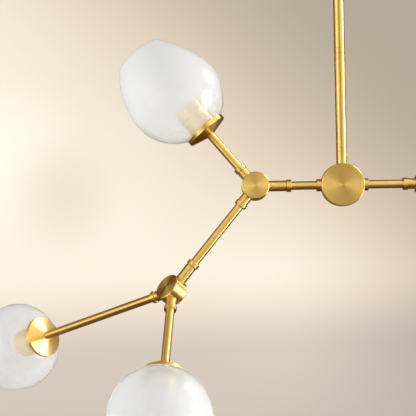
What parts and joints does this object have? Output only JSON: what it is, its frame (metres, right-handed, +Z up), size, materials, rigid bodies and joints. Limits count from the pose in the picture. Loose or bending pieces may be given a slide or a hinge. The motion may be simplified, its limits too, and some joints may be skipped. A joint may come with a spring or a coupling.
{
  "type": "branch chandelier",
  "caption": "Hanging branch chandelier: a brass stem with jointed arms that turn on round hubs and end in blown glass bubbles.",
  "frame": {"origin": "middle of the crossbar's top face, on the ceiling plane", "axes": "+Z up to the ceiling, X along the two level arms, -Y towards the viewer"},
  "size_m": [1.228, 0.7251, 0.9837],
  "materials": {
    "satin_brass": "satin, turned faces",
    "steel": "zinc plated",
    "lamp_socket": "matt",
    "blown_glass": "milky at the end, clear at the neck"
  },
  "bodies": {
    "ceiling_mount": {"mounting_bracket": "steel", "canopy": "satin_brass", "canopy_studs": "steel", "canopy_nuts": "satin_brass"},
    "turret": {"swivel_turret": "satin_brass", "turret_nut": "steel", "swivel_pin": "satin_brass"},
    "stem": {"swivel_knuckle": "satin_brass", "upper_stem_rod": "satin_brass", "lower_stem_rod": "satin_brass", "stem_couplers": "satin_brass", "center_hub": "satin_brass", "center_hub_cover": "satin_brass", "arm_flanges": "satin_brass", "left_arm_rod": "satin_brass", "right_arm_rod": "satin_brass", "arm_collars": "satin_brass", "arm_swivel_nuts": "satin_brass"},
    "left_branch": {"left_inner_hub": "satin_brass", "left_inner_hub_cover": "satin_brass", "left_inner_collars": "satin_brass", "left_mid_rod": "satin_brass", "left_mid_swivel_nut": "satin_brass", "left_upper_lamp_rod": "satin_brass", "left_upper_dish": "satin_brass", "left_upper_cup": "satin_brass", "left_upper_socket": "lamp_socket", "left_upper_glass": "blown_glass"},
    "left_end_branch": {"left_outer_hub": "satin_brass", "left_outer_hub_cover": "satin_brass", "left_outer_collars": "satin_brass", "left_far_lamp_rod": "satin_brass", "left_front_lamp_rod": "satin_brass", "left_far_dish": "satin_brass", "left_front_dish": "satin_brass", "left_outer_cups": "satin_brass", "left_outer_sockets": "lamp_socket", "left_far_glass": "blown_glass", "left_front_glass": "blown_glass"},
    "right_branch": {"right_inner_hub": "satin_brass", "right_inner_hub_cover": "satin_brass", "right_inner_collars": "satin_brass", "right_mid_rod": "satin_brass", "right_mid_swivel_nut": "satin_brass", "right_upper_lamp_rod": "satin_brass", "right_upper_dish": "satin_brass", "right_upper_cup": "satin_brass", "right_upper_socket": "lamp_socket", "right_upper_glass": "blown_glass"},
    "right_end_branch": {"right_outer_hub": "satin_brass", "right_outer_hub_cover": "satin_brass", "right_outer_collars": "satin_brass", "right_far_lamp_rod": "satin_brass", "right_front_lamp_rod": "satin_brass", "right_far_dish": "satin_brass", "right_front_dish": "satin_brass", "right_outer_cups": "satin_brass", "right_outer_sockets": "lamp_socket", "right_far_glass": "blown_glass", "right_front_glass": "blown_glass"}
  },
  "joints": [
    {"name": "canopy_turn", "type": "hinge", "parent": "ceiling_mount", "child": "turret", "pos_m": [0, 0, 0], "axis": [0, 0, 1], "range_deg": [-175, 175]},
    {"name": "stem_tilt", "type": "hinge", "parent": "turret", "child": "stem", "pos_m": [0, 0, -0.0443], "axis": [0, 1, 0], "range_deg": [-30, 30]},
    {"name": "left_inner_swivel", "type": "hinge", "parent": "stem", "child": "left_branch", "pos_m": [-0.13, 0, -0.5788], "axis": [-1, 0, 0], "range_deg": [-165, 165]},
    {"name": "left_outer_swivel", "type": "hinge", "parent": "left_branch", "child": "left_end_branch", "pos_m": [-0.25658, -0.01765, -0.73134], "axis": [-0.6361, -0.0887, -0.7665], "range_deg": [-165, 165]},
    {"name": "right_inner_swivel", "type": "hinge", "parent": "stem", "child": "right_branch", "pos_m": [0.129, 0, -0.5788], "axis": [1, 0, 0], "range_deg": [-165, 165]},
    {"name": "right_outer_swivel", "type": "hinge", "parent": "right_branch", "child": "right_end_branch", "pos_m": [0.25558, -0.15122, -0.60546], "axis": [0.6361, -0.7599, -0.134], "range_deg": [-165, 165]}
  ]
}
